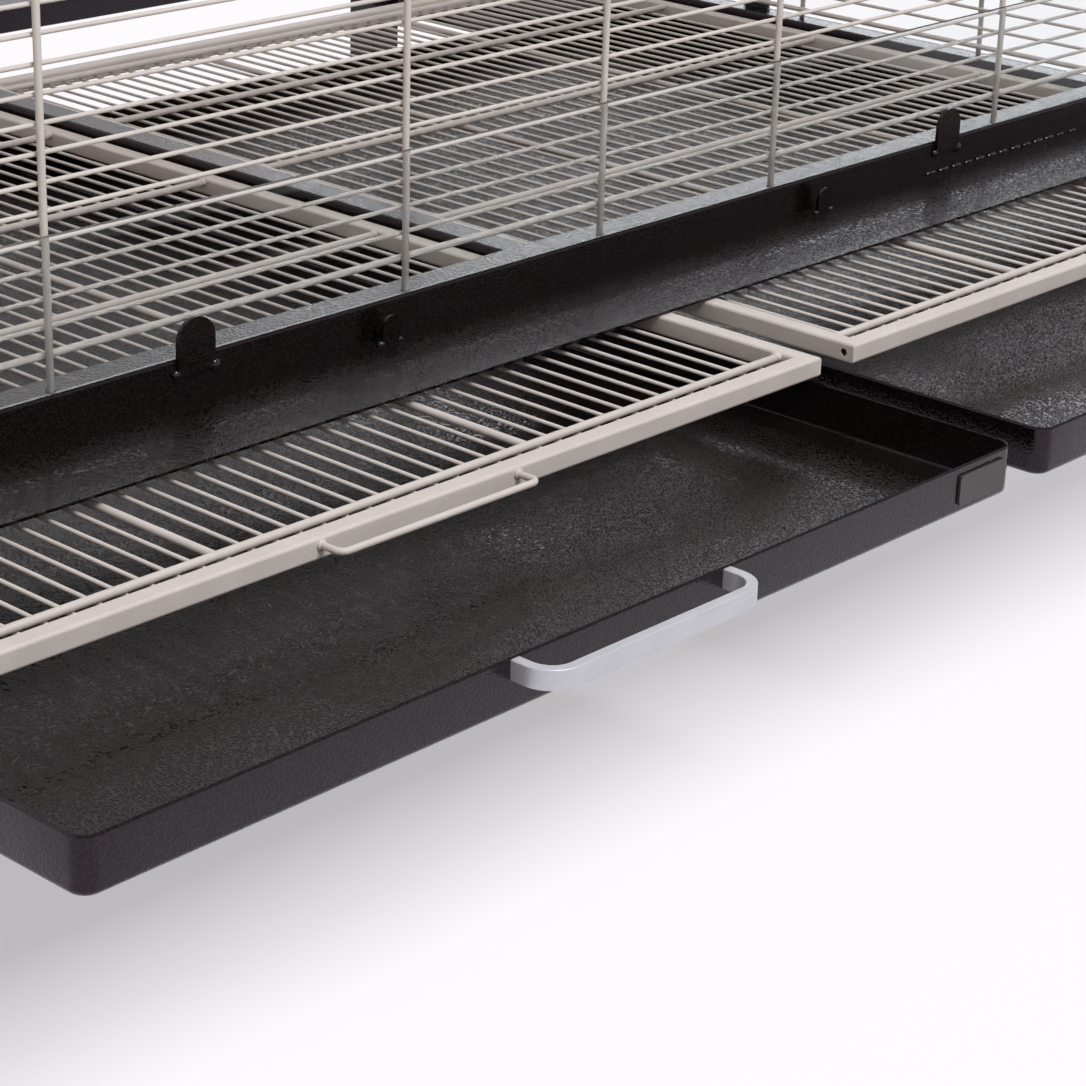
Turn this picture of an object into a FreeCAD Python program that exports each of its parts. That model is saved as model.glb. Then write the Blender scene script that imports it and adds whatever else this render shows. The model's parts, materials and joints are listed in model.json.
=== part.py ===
import FreeCAD, Part

import math
import os

V = FreeCAD.Vector

# Indoor bird aviary on legs, in millimetres, +Z up, front towards -Y.
# The origin lies on the floor, under the middle of the object as it stands with its
# trays and grates drawn out at the front.

# Overall sizes
overall_height = 1600.0
base_depth = 730.0
tray_floor_height = 180.0

# Square tube and sheet
rail_tube = 20.0
rail_wall = 1.5
rail_corner = 1.6
long_rail_drop = 20.0
rail_above_grate = 4.5
plug_deep = 3.0
back_rail_height = 20.0
sheet = 1.5

# Trays
tray_width = 550.0
tray_height = 24.0
tray_wall = 1.2
tray_corner = 8.0
tray_foot_radius = 3.0
tray_side_gap = 2.0
tray_back_gap = 10.0
tray_out = 207.0

# Tray handle
handle_spacing = 128.0
handle_reach = 22.0
handle_thick = 5.0
handle_tall = 9.0
handle_bend = 15.0
handle_edge = 0.6
handle_drop = 0.8
screw_shank = 3.0
screw_head = 6.4
screw_head_tall = 2.0
screw_grip = 8.0

# Blank plate on the left tray
plate_long = 36.0
plate_tall = 15.0
plate_thick = 1.2
plate_corner = 2.5
plate_inset = 0.5

# Grates
grate_tube = 10.0
grate_tube_wall = 1.2
grate_round = 1.6
grate_side_gap = 3.0
grate_back_gap = 3.0
grate_above_tray = 3.5
grate_out = 152.0
grate_wire = 2.0
grate_rod = 4.0
grate_rod_inset = 9.0
grate_rod_pitch = 140.0
grate_rod_sunk = 0.6
grate_wire_nub = 3.0
outer_gap_count = 13
middle_gap_count = 14
grate_hole = 4.0
grate_hole_inset = 6.0

# Grate pull
pull_span = 117.0
pull_reach = 12.0
pull_wire = 3.2
pull_bend = 4.0
pull_drop = 3.5

# Runners under trays and grates
runner_thick = 1.5
runner_gap = 0.2
tray_runner_wide = 12.0
grate_runner_wide = 11.0
runner_back_gap = 12.0

# Front ledge
ledge_reach = 58.0
ledge_fall = 4.1
ledge_above_rail_foot = 1.5

# Pane clips and ledge stops
clip_wide = 22.0
clip_tall = 26.0
clip_thick = 2.0
clip_rise = 18.3
clip_left_x = -280.0
clip_right_x = 303.0
stop_wide = 12.0
stop_tall = 14.0
stop_thick = 2.0
stop_ahead = 6.0
stop_left_x = -163.0
stop_right_x = 177.0

# Clear panes
pane_thick = 2.4
pane_tall = 70.0
pane_face_gap = 0.3
pane_end_gap = 0.6
pane_foot_gap = 0.2

# Wire panels
bar = 3.5
wire = 2.2
wire_pitch = 12.7
bar_inset = 5.0
bar_socket = 6.0
bar_hole_gap = 0.6
first_wire_front = 15.5
first_wire_side = 6.0
inner_bar_x = 142.0
outer_bar_x = 358.0
end_bar_gap = 8.0
wire_end_gap = 1.0
side_bar_first = 166.0
side_bar_pitch = 153.0
side_bar_count = 4

# Front opening and doors
lower_panel_height = 345.0
door_gap = 2.0
door_meeting_gap = 3.0
door_tube = 10.0
door_tube_wall = 1.2
door_wire_depth = 3.4
door_bar_count = 3

# Hinges
hinge_count = 3
hinge_end = 110.0
hinge_radius = 4.2
hinge_pin = 4.0
hinge_bore_gap = 0.05
hinge_half = 14.0
hinge_joint_gap = 0.4
hinge_wing = 12.0
hinge_wing_thick = 1.5
hinge_face_gap = 0.3

# Door bolts
bolt_rod = 5.0
bolt_stem = 4.0
bolt_stem_gap = 1.0
bolt_travel = 12.0
bolt_hole_gap = 0.3
bolt_ahead = 5.0
bolt_guide_tall = 8.0
bolt_guide_wide = 9.0
bolt_guide_first = 10.0
bolt_guide_second = 36.0
bolt_clear = 1.0
bolt_knob = 11.0
bolt_knob_long = 12.0
bolt_knob_round = 2.0
bolt_stem_long = 9.0
keeper_tall = 11.0
keeper_sunk = 2.0

# Legs and feet
leg_tube = 28.0
leg_wall = 2.0
leg_plate = 4.0
leg_side_gap = 15.0
front_leg_back = 40.0
foot_wide = leg_tube
foot_tall = 14.0
foot_bevel = 4.0
spindle = 10.0
spindle_show = 11.0
spindle_grip = 18.0

# Roof and perches
roof_bar_pitch = 142.0
perch = 14.0
perch_slot_gap = 0.2
perch_slot_deep = 8.0
perch_left_row_count = 34
perch_right_row_count = 52

# Places across the width
center_half = rail_tube / 2
bay_width = tray_width + 2 * tray_side_gap
side_inner = center_half + bay_width
side_outer = side_inner + rail_tube
leg_x = side_inner - leg_side_gap - leg_tube / 2

# Places along the depth
rest_depth = handle_reach + tray_out + ledge_reach + base_depth
back_face = rest_depth / 2
back_inner = back_face - rail_tube
rail_face = back_face - base_depth
rail_back = rail_face + rail_tube
ledge_front = rail_face - ledge_reach
tray_front = ledge_front - tray_out
tray_depth = ledge_reach + base_depth - rail_tube - tray_back_gap
grate_depth = base_depth - rail_tube - grate_back_gap
grate_front = rail_face - grate_out

# Levels
grate_foot = tray_floor_height + tray_height + grate_above_tray
grate_top = grate_foot + grate_tube
base_top = grate_top + rail_above_grate
base_foot = tray_floor_height - long_rail_drop
front_top = base_top + rail_tube
mid_foot = front_top + lower_panel_height
mid_top = mid_foot + rail_tube
roof_foot = overall_height - rail_tube
cross_foot = base_foot - rail_tube
wire_level = front_top + first_wire_front

# Wire panel planes, measured from the outer face of the rail that carries them
bar_depth = bar_inset
wire_depth = bar_inset + (bar + wire) / 2
foot_wire_depth = bar_inset + bar

SIDES = {"left": -1, "right": 1}


def block(x, y, z):
    """Box between two corners, each axis given as a pair."""
    low = V(min(x), min(y), min(z))
    return Part.makeBox(abs(x[1] - x[0]), abs(y[1] - y[0]), abs(z[1] - z[0]), low)


def prism(x, y, z, along, radius):
    """Box with its four edges along one axis rounded."""
    solid = block(x, y, z)
    edges = [e for e in solid.Edges if abs(e.tangentAt(e.FirstParameter).dot(along)) > 0.99]
    return solid.makeFillet(radius, edges)


def spread(pair, amount):
    """A pair moved apart at both ends, or together where the amount is negative."""
    return (min(pair) - amount, max(pair) + amount)


def tube(x, y, z, along, wall=rail_wall, radius=rail_corner):
    """Open-ended square tube along one axis."""
    pairs = []
    for pair, part_along in zip((x, y, z), along):
        pairs.append(spread(pair, wall if part_along else -wall))
    bore = block(*pairs)
    return prism(x, y, z, along, radius).cut(bore)


def plug(x, y, z, along, wall=rail_wall):
    """Flush end plug that fills a tube's bore, for the length given along its axis."""
    pairs = []
    for pair, part_along in zip((x, y, z), along):
        pairs.append(pair if part_along else spread(pair, -wall))
    return block(*pairs)


def rod(start, end, diameter):
    """Round rod between two points."""
    run = end.sub(start)
    return Part.makeCylinder(diameter / 2, run.Length, start, run)


def drill(solid, holes):
    """Cut a list of round holes out of a solid."""
    for hole in holes:
        solid = solid.cut(hole)
    return solid


def mirror_x(shape):
    return shape.mirror(V(0, 0, 0), V(1, 0, 0))


def place(shape, side):
    """A shape drawn for the right side, put on the side named."""
    return shape if SIDES[side] > 0 else mirror_x(shape)


def write(name, shapes):
    """Write one sub-part, one solid or a group of separate ones."""
    group = shapes if isinstance(shapes, list) else [shapes]
    solids = []
    for shape in group:
        solids.extend(shape.Solids)
    shape = solids[0] if len(solids) == 1 else Part.makeCompound(solids)
    shape.exportStep("parts/" + name + ".step")


def rows(first, last, step):
    """Evenly stepped values from first, none beyond last."""
    count = int(math.floor((last - first) / step + 1e-6)) + 1
    return [first + step * i for i in range(count)]


X, Y, Z = V(1, 0, 0), V(0, 1, 0), V(0, 0, 1)

side_x = (side_inner, side_outer)
side_bar_x = side_outer - bar_depth
front_bar_y = rail_face + bar_depth
back_bar_y = back_face - bar_depth
end_bar_x = side_inner - end_bar_gap
cross_bars = [-end_bar_x, -outer_bar_x, -inner_bar_x, 0.0, inner_bar_x, outer_bar_x, end_bar_x]
side_bars = [rail_back + end_bar_gap, back_inner - end_bar_gap]
side_bars += [rail_face + side_bar_first + side_bar_pitch * i for i in range(side_bar_count)]
stile_x = (outer_bar_x - rail_tube / 2, outer_bar_x + rail_tube / 2)
field_bars = [stile_x[1] + end_bar_gap, (stile_x[1] + side_inner) / 2, end_bar_x]


def sockets(points, level):
    """Vertical holes for bar ends, through the wall at one level."""
    size = bar + 2 * bar_hole_gap
    return [rod(V(x, y, level - bar_socket), V(x, y, level + bar_socket), size) for x, y in points]


# Base frame
def front_rail():
    solid = tube((-side_outer, side_outer), (rail_face, rail_back), (base_top, front_top), X)
    return drill(solid, sockets([(x, front_bar_y) for x in cross_bars], front_top))


def ledge_frame(shape):
    """Tilt a shape drawn level at the origin so that it lies on the sloping ledge."""
    slope = math.degrees(math.atan2(ledge_fall, ledge_reach))
    shape.rotate(V(0, 0, 0), X, slope)
    shape.translate(V(0, rail_face, base_top + ledge_above_rail_foot))
    return shape


def front_ledge():
    plate_length = math.hypot(ledge_reach, ledge_fall)
    plate = ledge_frame(block((-side_outer, side_outer), (-plate_length, rail_tube), (-sheet, 0)))
    behind = block((-side_outer, side_outer), (rail_face, rail_back + rail_tube), (base_foot, front_top))
    return plate.cut(behind)


def side_rail():
    solid = tube(side_x, (rail_face, back_face), (base_foot, base_top), Y)
    return drill(solid, sockets([(side_bar_x, y) for y in side_bars], base_top))


def center_rail():
    return tube((-center_half, center_half), (rail_face, back_inner), (base_foot, base_top), Y)


def back_rail():
    solid = tube((-side_inner, side_inner), (back_inner, back_face), (base_top - back_rail_height, base_top), X)
    return drill(solid, sockets([(x, back_bar_y) for x in cross_bars], base_top))


cross_y = (rail_face + front_leg_back - rail_tube / 2, rail_face + front_leg_back + rail_tube / 2)


def front_cross_tube():
    return tube((-side_outer, side_outer), cross_y, (cross_foot, base_foot), X)


def runners(top, wide, drop_back):
    """Four flat strips, one at each side of both bays."""
    run = (rail_face, back_inner - drop_back)
    level = (top - runner_gap - runner_thick, top - runner_gap)
    outer = block((side_inner - wide, side_inner), run, level)
    inner = block((center_half, center_half + wide), run, level)
    return [outer, inner, mirror_x(outer), mirror_x(inner)]


def rounded_tab(wide, tall, thick):
    """Flat tab with a round top, standing at the origin with its back on the XZ plane."""
    radius = wide / 2
    straight = tall - radius
    corners = [V(-radius, 0, straight), V(-radius, 0, 0), V(radius, 0, 0), V(radius, 0, straight)]
    edges = [Part.makeLine(a, b) for a, b in zip(corners, corners[1:])]
    edges.append(Part.Arc(corners[3], V(0, 0, tall), corners[0]).toShape())
    return Part.Face(Part.Wire(edges)).extrude(V(0, -thick, 0))


def pane_clips():
    clips = []
    for x in (clip_left_x, clip_right_x):
        clip = rounded_tab(clip_wide, clip_tall, clip_thick)
        clip.translate(V(x, rail_face, front_top + clip_rise - clip_tall))
        clips.append(clip)
    clip = rounded_tab(clip_wide, clip_tall, clip_thick)
    clip.rotate(V(0, 0, 0), Z, 90)
    clip.translate(V(side_outer, (rail_back + back_inner) / 2, base_top + clip_rise - clip_tall))
    return clips + [clip, mirror_x(clip)]


def ledge_stops():
    stops = []
    for x in (stop_left_x, stop_right_x):
        stop = rounded_tab(stop_wide, stop_tall, stop_thick)
        stop.translate(V(x, -stop_ahead, 0))
        stops.append(ledge_frame(stop))
    return stops


# Legs and feet
front_leg_y = rail_face + front_leg_back
back_leg_y = back_face - leg_tube / 2
leg_foot = foot_tall + spindle_show


def leg(x, y, top):
    half = leg_tube / 2
    across = ((x - half, x + half), (y - half, y + half))
    solid = tube(*across, (leg_foot, top), Z, wall=leg_wall)
    end = block(spread(across[0], -leg_wall), spread(across[1], -leg_wall), (leg_foot, leg_foot + leg_plate))
    return solid.fuse(end).cut(rod(V(x, y, 0), V(x, y, leg_foot + spindle_grip), spindle)).removeSplitter()


def foot(x, y):
    pad = Part.makeCylinder(foot_wide / 2, foot_tall - foot_bevel, V(x, y, 0))
    bevel = Part.makeCone(foot_wide / 2, foot_wide / 2 - foot_bevel, foot_bevel, V(x, y, foot_tall - foot_bevel))
    stem = rod(V(x, y, foot_tall), V(x, y, leg_foot + spindle_grip), spindle)
    return pad.fuse([bevel, stem]).removeSplitter()


def stand():
    """Places of the four legs, each with the level of its top."""
    back_top = base_top - back_rail_height
    return [(s * leg_x, y, top) for s in (-1, 1) for y, top in ((front_leg_y, cross_foot), (back_leg_y, back_top))]


# Upright frame
def corner_posts():
    front = tube(side_x, (rail_face, rail_back), (front_top, roof_foot), Z)
    back = tube(side_x, (back_inner, back_face), (base_top, roof_foot), Z)
    return [front, back, mirror_x(front), mirror_x(back)]


def top_frame():
    level = (roof_foot, overall_height)
    front = tube((-side_outer, side_outer), (rail_face, rail_back), level, X)
    outer_field = [(s * x, front_bar_y) for s in (-1, 1) for x in field_bars]
    front = drill(front, sockets(outer_field, roof_foot))
    back = tube((-side_outer, side_outer), (back_inner, back_face), level, X)
    back = drill(back, sockets([(x, back_bar_y) for x in cross_bars], roof_foot))
    side = tube(side_x, (rail_back, back_inner), level, Y)
    side = drill(side, sockets([(side_bar_x, y) for y in side_bars], roof_foot))
    return [front, back, side, mirror_x(side)]


def mid_rail():
    solid = tube((-side_inner, side_inner), (rail_face, rail_back), (mid_foot, mid_top), X)
    solid = drill(solid, sockets([(x, front_bar_y) for x in cross_bars], mid_foot))
    return drill(solid, sockets([(s * x, front_bar_y) for s in (-1, 1) for x in field_bars], mid_top))


def door_stiles():
    stile = tube(stile_x, (rail_face, rail_back), (mid_top, roof_foot), Z)
    return [stile, mirror_x(stile)]


def end_plugs():
    """Flush plugs in the tube ends that stay open after welding."""
    right = (side_outer - plug_deep, side_outer)
    front = (rail_face, rail_face + plug_deep)
    plugs = []
    for y, z in (((rail_face, rail_back), (base_top, front_top)),
                 ((rail_face, rail_back), (roof_foot, overall_height)),
                 ((back_inner, back_face), (roof_foot, overall_height)),
                 (cross_y, (cross_foot, base_foot))):
        plugs.append(plug(right, y, z, X))
    for y in (front, (back_face - plug_deep, back_face)):
        plugs.append(plug(side_x, y, (base_foot, base_top), Y))
    plugs += [mirror_x(p) for p in plugs]
    plugs.append(plug((-center_half, center_half), front, (base_foot, base_top), Y))
    return plugs


# Wire panels
def uprights(points, foot, top):
    return [rod(V(x, y, foot), V(x, y, top), bar) for x, y in points]


def cross_panel(bars, x, bar_y, inward, foot, top, first, foot_wire):
    """Wires across the width behind upright bars, the lowest one thick where asked."""
    wires = uprights([(b, bar_y) for b in bars], foot - bar_socket, top + bar_socket)
    for i, level in enumerate(rows(first, top - wire_pitch / 2, wire_pitch)):
        thick = bar if foot_wire and i == 0 else wire
        y = bar_y + inward * (bar + thick) / 2
        wires.append(rod(V(x[0], y, level), V(x[1], y, level), thick))
    return wires


def front_wire_panel():
    run = spread((-side_inner, side_inner), -wire_end_gap)
    return cross_panel(cross_bars, run, front_bar_y, 1, front_top, mid_foot, wire_level, True)


def field_first_row():
    """First wire level above the middle rail, on the same rows as the panel below it."""
    skipped = math.ceil((mid_top + wire_pitch / 2 - wire_level) / wire_pitch)
    return wire_level + skipped * wire_pitch


def front_field():
    run = spread((stile_x[1], side_inner), -wire_end_gap)
    return cross_panel(field_bars, run, front_bar_y, 1, mid_top, roof_foot, field_first_row(), False)


def rear_wire_panel():
    run = spread((-side_inner, side_inner), -wire_end_gap)
    below = math.floor((wire_level - base_top - bar) / wire_pitch)
    first = wire_level - below * wire_pitch
    return cross_panel(cross_bars, run, back_bar_y, -1, base_top, roof_foot, first, True)


def side_wire_panel():
    wires = uprights([(side_bar_x, y) for y in side_bars], base_top - bar_socket, roof_foot + bar_socket)
    run = spread((rail_back, back_inner), -wire_end_gap)
    for i, level in enumerate(rows(base_top + first_wire_side, roof_foot - wire_pitch / 2, wire_pitch)):
        thick = bar if i == 0 else wire
        x = side_bar_x - (bar + thick) / 2
        wires.append(rod(V(x, run[0], level), V(x, run[1], level), thick))
    return wires


def roof_wire_panel():
    """Wires across the roof under bars that run from front to back, inside the top frame."""
    level = overall_height - rail_tube / 2
    half_count = math.floor(side_inner / roof_bar_pitch)
    wires = []
    for i in range(-half_count, half_count + 1):
        x = i * roof_bar_pitch
        wires.append(rod(V(x, rail_back, level), V(x, back_inner, level), bar))
    under = level - (bar + wire) / 2
    for y in rows(rail_back + wire_pitch, back_inner - wire_pitch / 2, wire_pitch):
        wires.append(rod(V(-side_inner, y, under), V(side_inner, y, under), wire))
    return wires


# Clear panes
def front_pane():
    across = spread((-side_inner, side_inner), -pane_end_gap)
    y = rail_face + pane_face_gap
    foot = front_top + pane_foot_gap
    return block(across, (y, y + pane_thick), (foot, foot + pane_tall))


def side_pane():
    x = side_outer - pane_face_gap
    foot = base_top + pane_foot_gap
    return block((x - pane_thick, x), spread((rail_back, back_inner), -pane_end_gap), (foot, foot + pane_tall))


# Trays
tray_x = (center_half + tray_side_gap, center_half + tray_side_gap + tray_width)
tray_mid = sum(tray_x) / 2
handle_top = tray_floor_height + tray_height - handle_drop
handle_level = handle_top - handle_tall / 2
handle_ends = [tray_mid - handle_spacing / 2, tray_mid + handle_spacing / 2]


def pan(x, y, z, radius, foot_radius):
    """Closed block with round corners and a rounded foot."""
    solid = prism(x, y, z, Z, radius)
    low = [e for e in solid.Edges if e.BoundBox.ZMax < min(z) + 1e-6]
    return solid.makeFillet(foot_radius, low)


def tray():
    y = (tray_front, tray_front + tray_depth)
    top = tray_floor_height + tray_height
    outer = pan(tray_x, y, (tray_floor_height, top), tray_corner, tray_foot_radius)
    inside = (spread(tray_x, -tray_wall), spread(y, -tray_wall))
    hollow = pan(*inside, (tray_floor_height + tray_wall, top + tray_wall), tray_corner - tray_wall,
                 tray_foot_radius - tray_wall)
    wall = (tray_front - tray_wall, tray_front + 2 * tray_wall)
    holes = [rod(V(x, wall[0], handle_level), V(x, wall[1], handle_level), screw_shank) for x in handle_ends]
    return drill(outer.cut(hollow), holes)


def tray_handle():
    """Flat bar bent into a bow, with eased edges, drilled in both ends."""
    half = (handle_spacing + handle_thick) / 2
    level = (handle_top - handle_tall, handle_top)
    outer = block((tray_mid - half, tray_mid + half), (tray_front - handle_reach, tray_front), level)
    inside = spread((tray_mid - half, tray_mid + half), -handle_thick)
    inner = block(inside, (tray_front - handle_reach + handle_thick, tray_front + handle_thick), level)
    front_edge = tray_front - handle_reach
    bends = [e for e in outer.Edges if e.BoundBox.YMax < front_edge + 1e-6 and e.BoundBox.ZLength > 1]
    outer = outer.makeFillet(handle_bend, bends)
    front_edge += handle_thick
    bends = [e for e in inner.Edges if e.BoundBox.YMax < front_edge + 1e-6 and e.BoundBox.ZLength > 1]
    inner = inner.makeFillet(handle_bend - handle_thick, bends)
    bow = outer.cut(inner)
    long_edges = [e for e in bow.Edges if e.BoundBox.ZLength < 1e-6 and e.BoundBox.YMin < tray_front - 1e-6]
    bow = bow.makeFillet(handle_edge, long_edges)
    holes = [rod(V(x, tray_front - screw_grip, handle_level), V(x, tray_front, handle_level), screw_shank)
             for x in handle_ends]
    return drill(bow, holes)


def tray_screws():
    screws = []
    seat = tray_front + tray_wall
    for x in handle_ends:
        shank = rod(V(x, tray_front - screw_grip, handle_level), V(x, seat, handle_level), screw_shank)
        head = rod(V(x, seat, handle_level), V(x, seat + screw_head_tall, handle_level), screw_head)
        screws.append(shank.fuse(head).removeSplitter())
    return screws


def tray_plate():
    """Blank rounded plate at the right end of the left tray's front."""
    right = -tray_x[0] - tray_corner - plate_inset
    foot = tray_floor_height + (tray_height - plate_tall) / 2
    level = (foot, foot + plate_tall)
    return prism((right - plate_long, right), (tray_front - plate_thick, tray_front), level, Y, plate_corner)


# Grates
grate_x = (center_half + grate_side_gap, side_inner - grate_side_gap)
grate_mid = sum(grate_x) / 2
grate_y = (grate_front, grate_front + grate_depth)
grate_z = (grate_foot, grate_top)
grate_in_x = spread(grate_x, -grate_tube)
grate_in_y = spread(grate_y, -grate_tube)
rod_level = grate_top - grate_rod_sunk - grate_rod / 2
wire_under = rod_level - (grate_rod + grate_wire) / 2
pull_level = grate_top - pull_drop
pull_ends = [grate_mid - pull_span / 2, grate_mid + pull_span / 2]


def ring(x, y, z, wide):
    return block(x, y, z).cut(block(spread(x, -wide), spread(y, -wide), spread(z, wide)))


def grate_frame():
    """Round-edged tube frame with mitred corners, a drain hole in each side near the front, and pull holes."""
    inset = grate_tube_wall
    bore = ring(spread(grate_x, -inset), spread(grate_y, -inset), spread(grate_z, -inset), grate_tube - 2 * inset)
    frame = ring(grate_x, grate_y, grate_z, grate_tube)
    frame = frame.makeFillet(grate_round, [e for e in frame.Edges if e.BoundBox.ZLength < 1e-6])
    frame = frame.cut(bore)
    hole_y = grate_front + grate_hole_inset
    hole_z = sum(grate_z) / 2
    holes = []
    for x, step in ((grate_x[0], inset), (grate_x[1], -inset)):
        holes.append(rod(V(x - 2 * step, hole_y, hole_z), V(x + 2 * step, hole_y, hole_z), grate_hole))
    for x in pull_ends:
        holes.append(rod(V(x, grate_front - inset, pull_level), V(x, grate_front + inset, pull_level), pull_wire))
    return drill(frame, holes)


def grate_wires():
    """Thin wires from front to back under cross rods, with two thick rods that reach the frame."""
    gaps = 2 * outer_gap_count + middle_gap_count
    pitch = (grate_in_x[1] - grate_in_x[0]) / gaps
    first = grate_in_y[0] + grate_rod_inset
    last = grate_in_y[1] - grate_rod_inset
    wires = []
    for y in rows(first, last - grate_rod_pitch / 2, grate_rod_pitch) + [last]:
        wires.append(rod(V(grate_in_x[0], y, rod_level), V(grate_in_x[1], y, rod_level), grate_rod))
    run = spread((first, last), grate_wire_nub)
    for i in range(1, gaps):
        x = grate_in_x[0] + i * pitch
        if i in (outer_gap_count, outer_gap_count + middle_gap_count):
            level = rod_level - grate_rod
            wires.append(rod(V(x, grate_in_y[0], level), V(x, grate_in_y[1], level), grate_rod))
        else:
            wires.append(rod(V(x, run[0], wire_under), V(x, run[1], wire_under), grate_wire))
    return wires


def grate_pull():
    """Bent wire pull whose ends sit in the front member."""
    back = grate_front + grate_tube_wall
    front = grate_front - pull_reach
    left, right = pull_ends
    corner = pull_bend * (1 - math.sqrt(0.5))
    straight = [(V(left, back, pull_level), V(left, front + pull_bend, pull_level)),
                (V(left + pull_bend, front, pull_level), V(right - pull_bend, front, pull_level)),
                (V(right, front + pull_bend, pull_level), V(right, back, pull_level))]
    middles = [V(left + corner, front + corner, pull_level), V(right - corner, front + corner, pull_level)]
    edges = []
    for i, (start, end) in enumerate(straight):
        edges.append(Part.makeLine(start, end))
        if i < len(middles):
            edges.append(Part.Arc(end, middles[i], straight[i + 1][0]).toShape())
    section = Part.Wire(Part.makeCircle(pull_wire / 2, straight[0][0], Y))
    return Part.Wire(edges).makePipeShell([section], True, False)


# Doors, drawn for the right side
door_x = (door_meeting_gap / 2, stile_x[0] - door_gap)
door_y = (rail_face, rail_face + door_tube)
door_z = (mid_top + door_gap, roof_foot - door_gap)
hinge_x = (door_x[1] + stile_x[0]) / 2
hinge_y = rail_face - hinge_face_gap - hinge_radius
hinge_first = door_z[0] + hinge_end
hinge_step = (door_z[1] - door_z[0] - 2 * hinge_end) / (hinge_count - 1)
hinge_levels = [hinge_first + hinge_step * i for i in range(hinge_count)]
bolt_x = (door_x[0] + door_x[0] + door_tube) / 2
bolt_y = rail_face - bolt_ahead


def door_frame():
    inset = door_tube_wall
    outer = block(door_x, door_y, door_z)
    window = block(spread(door_x, -door_tube), spread(door_y, door_tube), spread(door_z, -door_tube))
    core = block(spread(door_x, -inset), spread(door_y, -inset), spread(door_z, -inset))
    solid_core = block(spread(door_x, inset - door_tube), spread(door_y, inset), spread(door_z, inset - door_tube))
    drain = rod(V(bolt_x, sum(door_y) / 2, door_z[0] - inset), V(bolt_x, sum(door_y) / 2, door_z[0] + 2 * inset),
                grate_hole)
    return outer.cut(window).cut(core.cut(solid_core)).cut(drain)


def door_wires():
    """Wires that end on the inner faces of the door's frame."""
    x = spread(door_x, -door_tube)
    z = spread(door_z, -door_tube)
    bar_y = rail_face + door_wire_depth
    step = (x[1] - x[0]) / (door_bar_count + 1)
    wires = uprights([(x[0] + step * (i + 1), bar_y) for i in range(door_bar_count)], *z)
    y = bar_y + (bar + wire) / 2
    for level in rows(field_first_row() + wire_pitch, z[1] - wire_pitch / 2, wire_pitch):
        wires.append(rod(V(x[0], y, level), V(x[1], y, level), wire))
    return wires


def hinge_leaf(level, reach):
    """Half of a lift-off hinge: a barrel on the hinge axis with a flat wing on the face beside it."""
    barrel = rod(V(hinge_x, hinge_y, level), V(hinge_x, hinge_y, level + hinge_half), 2 * hinge_radius)
    wing = block((hinge_x, hinge_x + reach), (rail_face - hinge_wing_thick, rail_face), (level, level + hinge_half))
    return barrel.fuse(wing)


def hinge_pins():
    pins = []
    for level in hinge_levels:
        lower = hinge_leaf(level - hinge_half - hinge_joint_gap, hinge_wing)
        pin = rod(V(hinge_x, hinge_y, level - hinge_half), V(hinge_x, hinge_y, level + hinge_half), hinge_pin)
        pins.append(lower.fuse(pin).removeSplitter())
    return pins + [mirror_x(p) for p in pins]


def hinge_barrels():
    barrels = []
    for level in hinge_levels:
        size = hinge_pin + 2 * hinge_bore_gap
        bore = rod(V(hinge_x, hinge_y, level - hinge_half), V(hinge_x, hinge_y, level + 2 * hinge_half), size)
        barrels.append(hinge_leaf(level, -door_tube).cut(bore).removeSplitter())
    return barrels


def bolt_block(foot, tall):
    """Drilled block on a front face, on the bolt's axis."""
    half = bolt_guide_wide / 2
    front = bolt_y - half
    body = block((bolt_x - half, bolt_x + half), (front, rail_face), (foot, foot + tall))
    bore = rod(V(bolt_x, bolt_y, foot - tall), V(bolt_x, bolt_y, foot + 2 * tall), bolt_rod + 2 * bolt_hole_gap)
    return body.cut(bore)


bolt_foot = mid_top + bolt_clear


def bolt_guides():
    return [bolt_block(door_z[0] + up, bolt_guide_tall) for up in (bolt_guide_first, bolt_guide_second)]


def bolt_keepers():
    keeper = bolt_block(mid_top - keeper_sunk - keeper_tall, keeper_tall)
    return [keeper, mirror_x(keeper)]


def door_bolt():
    """Round bolt with a stem and knob to push it by, which clear its upper guide over the whole travel."""
    guide_top = door_z[0] + bolt_guide_second + bolt_guide_tall
    level = guide_top + bolt_travel + bolt_stem_gap + bolt_stem / 2
    shank = rod(V(bolt_x, bolt_y, bolt_foot), V(bolt_x, bolt_y, level + bolt_rod), bolt_rod)
    stem_end = bolt_y - bolt_rod / 2 - bolt_stem_long
    stem = rod(V(bolt_x, bolt_y, level), V(bolt_x, stem_end, level), bolt_stem)
    knob = rod(V(bolt_x, stem_end, level), V(bolt_x, stem_end - bolt_knob_long, level), bolt_knob)
    rims = [e for e in knob.Edges if e.BoundBox.YLength < 1e-6]
    knob = knob.makeFillet(bolt_knob_round, rims)
    return shank.fuse([stem, knob]).removeSplitter()


# Perches
def perch_dowel(x, row):
    """Round dowel from front to back, slotted at both ends to sit on a wire of each panel."""
    level = wire_level + row * wire_pitch
    front = front_bar_y + (bar + wire) / 2
    back = back_bar_y - (bar + wire) / 2
    over = perch_slot_deep - wire / 2 - perch_slot_gap
    dowel = rod(V(x, front - over, level), V(x, back + over, level), perch)
    half = wire / 2 + perch_slot_gap
    for y in (front - over, back + over - perch_slot_deep):
        dowel = dowel.cut(block((x - perch, x + perch), (y, y + perch_slot_deep), (level - half, level + half)))
    return dowel


def perches():
    x = (field_bars[0] + field_bars[1]) / 2
    return [perch_dowel(-x, perch_left_row_count), perch_dowel(x, perch_right_row_count)]


os.makedirs("parts", exist_ok=True)

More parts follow.
